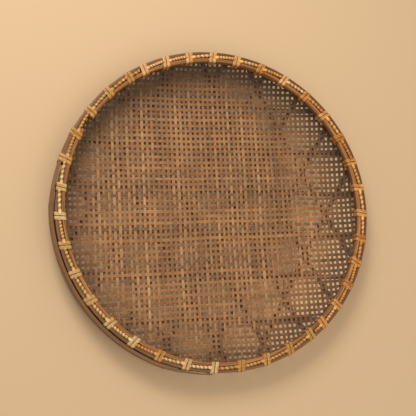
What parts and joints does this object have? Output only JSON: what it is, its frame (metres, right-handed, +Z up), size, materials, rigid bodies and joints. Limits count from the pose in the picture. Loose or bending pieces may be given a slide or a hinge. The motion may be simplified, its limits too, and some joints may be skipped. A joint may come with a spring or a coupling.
{
  "type": "winnowing basket",
  "caption": "Round shallow winnowing basket: an open plain-woven tray on hexagonal backing slats, held between two bent hoops by rattan lashings.",
  "frame": {"origin": "middle of the base of the box round the whole basket, on the surface that it lies on", "axes": "+Z up along the basket's axis, out of its open side; +Y towards the side where the first length of binder begins and the inner hoop's gap is a sixth of a turn anticlockwise"},
  "size_m": [0.5642, 0.5618, 0.0434],
  "materials": {
    "outer_hoop_bamboo": "worn satin split bamboo, brown, with long fibres",
    "inner_hoop_bamboo": "worn satin rounded bamboo, grey-brown, with long fibres",
    "woven_splints": "dry matt split bamboo, warm brown, uneven from splint to splint",
    "backing_slats": "dry matt split bamboo, darker brown",
    "amber_rattan": "satin rattan skin, amber",
    "pale_rattan": "satin rattan skin, pale straw yellow"
  },
  "bodies": {
    "root": {"falling_slat_1": "backing_slats", "falling_slat_2": "backing_slats", "falling_slat_3": "backing_slats", "falling_slat_4": "backing_slats", "falling_slat_5": "backing_slats", "falling_slat_6": "backing_slats", "inner_hoop": "inner_hoop_bamboo", "lashing_01": "amber_rattan", "lashing_02": "amber_rattan", "lashing_03": "amber_rattan", "lashing_04": "amber_rattan", "lashing_05": "amber_rattan", "lashing_06": "amber_rattan", "lashing_07": "amber_rattan", "lashing_08": "amber_rattan", "lashing_09": "amber_rattan", "lashing_10": "amber_rattan", "lashing_11": "amber_rattan", "lashing_12": "amber_rattan", "lashing_13": "amber_rattan", "lashing_14": "amber_rattan", "lashing_15": "amber_rattan", "lashing_16": "amber_rattan", "lashing_17": "amber_rattan", "lashing_18": "amber_rattan", "lashing_19": "pale_rattan", "lashing_20": "pale_rattan", "lashing_21": "pale_rattan", "lashing_22": "pale_rattan", "lashing_23": "pale_rattan", "lashing_24": "pale_rattan", "lashing_25": "pale_rattan", "lashing_26": "pale_rattan", "lashing_27": "pale_rattan", "lashing_28": "pale_rattan", "lashing_29": "pale_rattan", "lashing_30": "pale_rattan", "lashing_31": "pale_rattan", "lashing_32": "pale_rattan", "lashing_33": "pale_rattan", "lashing_34": "pale_rattan", "lashing_35": "pale_rattan", "lashing_36": "pale_rattan", "lashing_37": "pale_rattan", "level_slat_1": "backing_slats", "level_slat_2": "backing_slats", "level_slat_3": "backing_slats", "level_slat_4": "backing_slats", "level_slat_5": "backing_slats", "level_slat_6": "backing_slats", "outer_hoop": "outer_hoop_bamboo", "rising_slat_1": "backing_slats", "rising_slat_2": "backing_slats", "rising_slat_3": "backing_slats", "rising_slat_4": "backing_slats", "rising_slat_5": "backing_slats", "rising_slat_6": "backing_slats", "tray": "woven_splints"}
  },
  "joints": []
}
